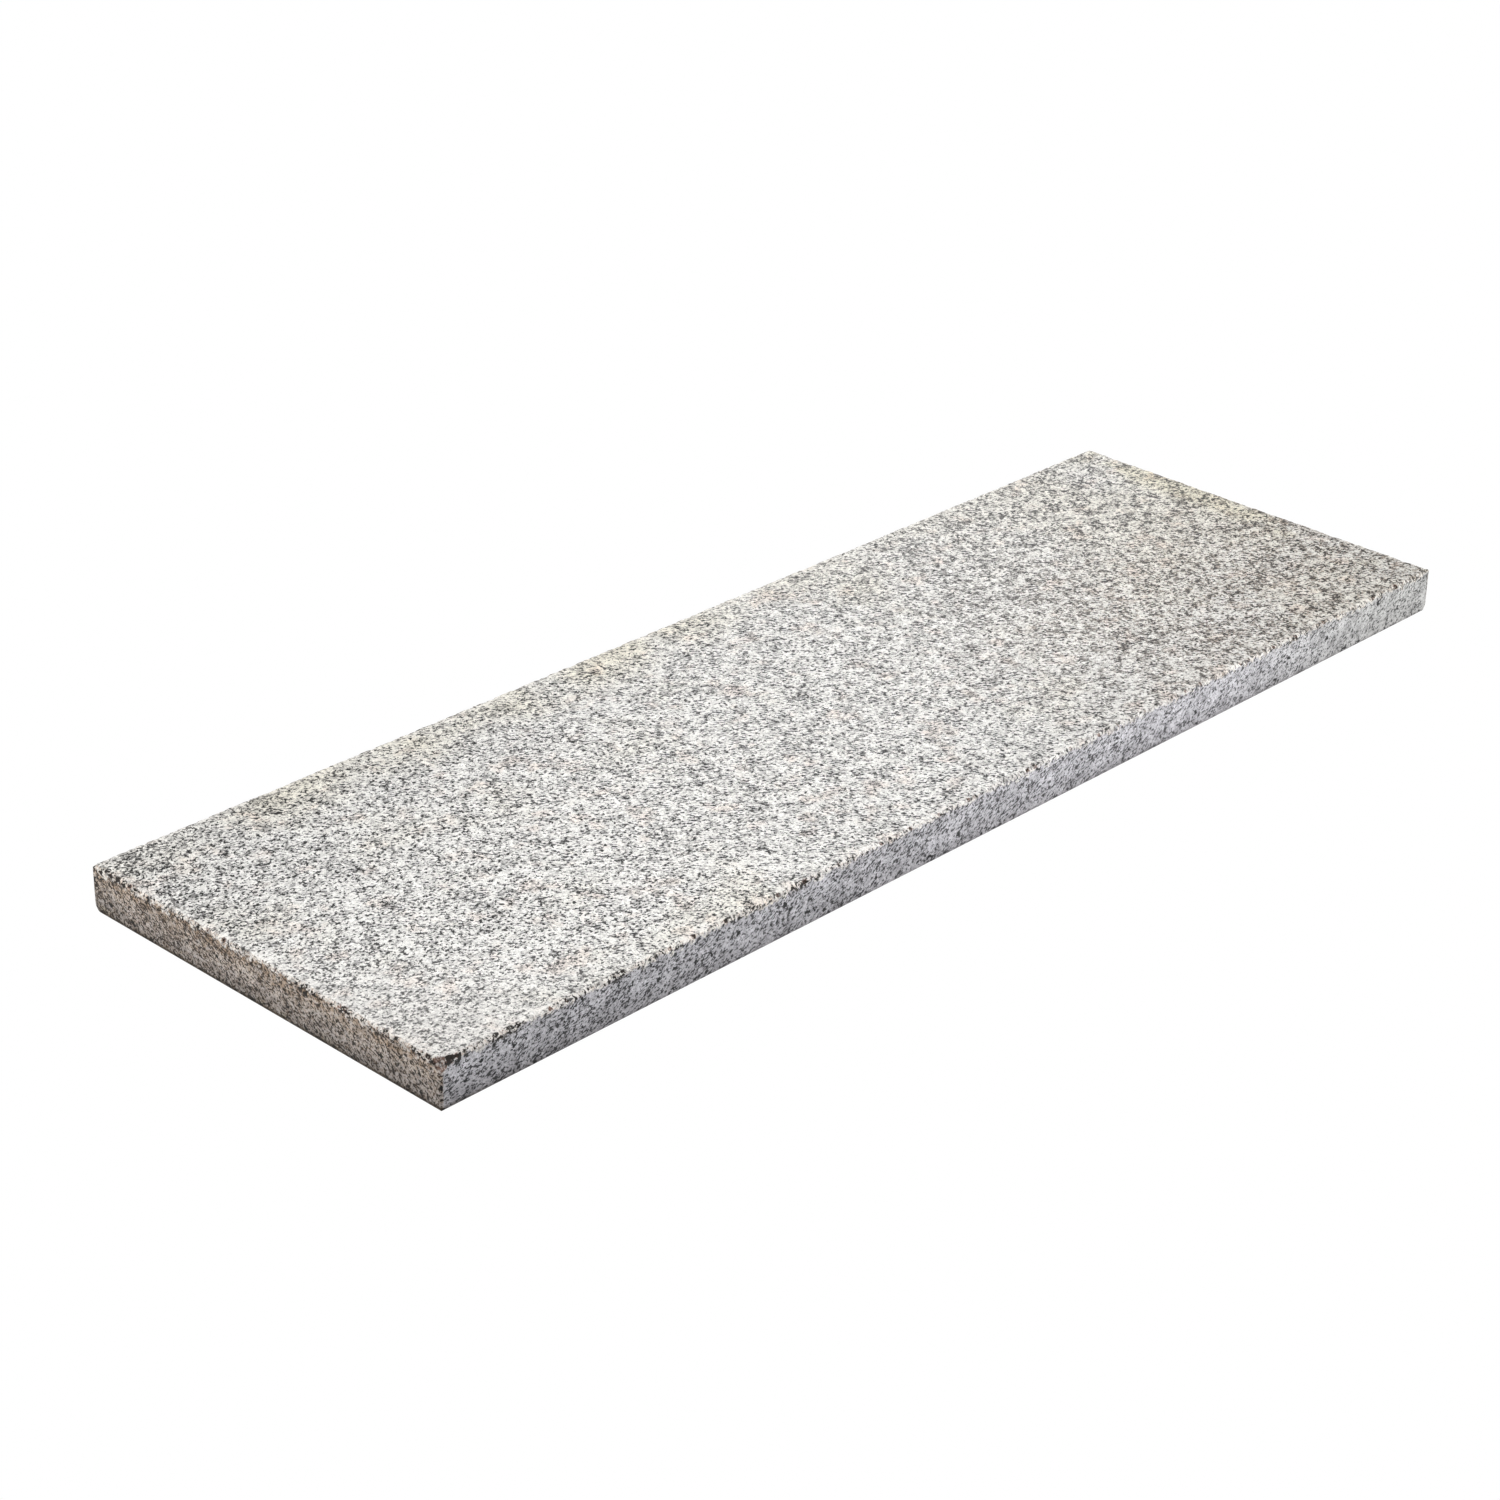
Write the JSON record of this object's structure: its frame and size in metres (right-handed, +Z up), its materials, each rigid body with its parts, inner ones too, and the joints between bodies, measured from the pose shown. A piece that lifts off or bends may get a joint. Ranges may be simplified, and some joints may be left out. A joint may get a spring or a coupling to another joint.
{
  "type": "granite slab",
  "caption": "Rectangular slab of light grey granite with a rough top face, sawn edges and underside and small chips along its arrises; a flat, heavy base or paving piece.",
  "frame": {"origin": "middle of the sawn underside, which is the face it rests on", "axes": "+X along the length, +Y across the width, +Z up out of the rough top face"},
  "size_m": [0.9, 0.3, 0.03],
  "materials": {
    "granite": "light grey speckled granite, matt: rough dressed top, sawn edges and underside"
  },
  "bodies": {
    "root": {"granite_slab": "granite"}
  },
  "joints": []
}
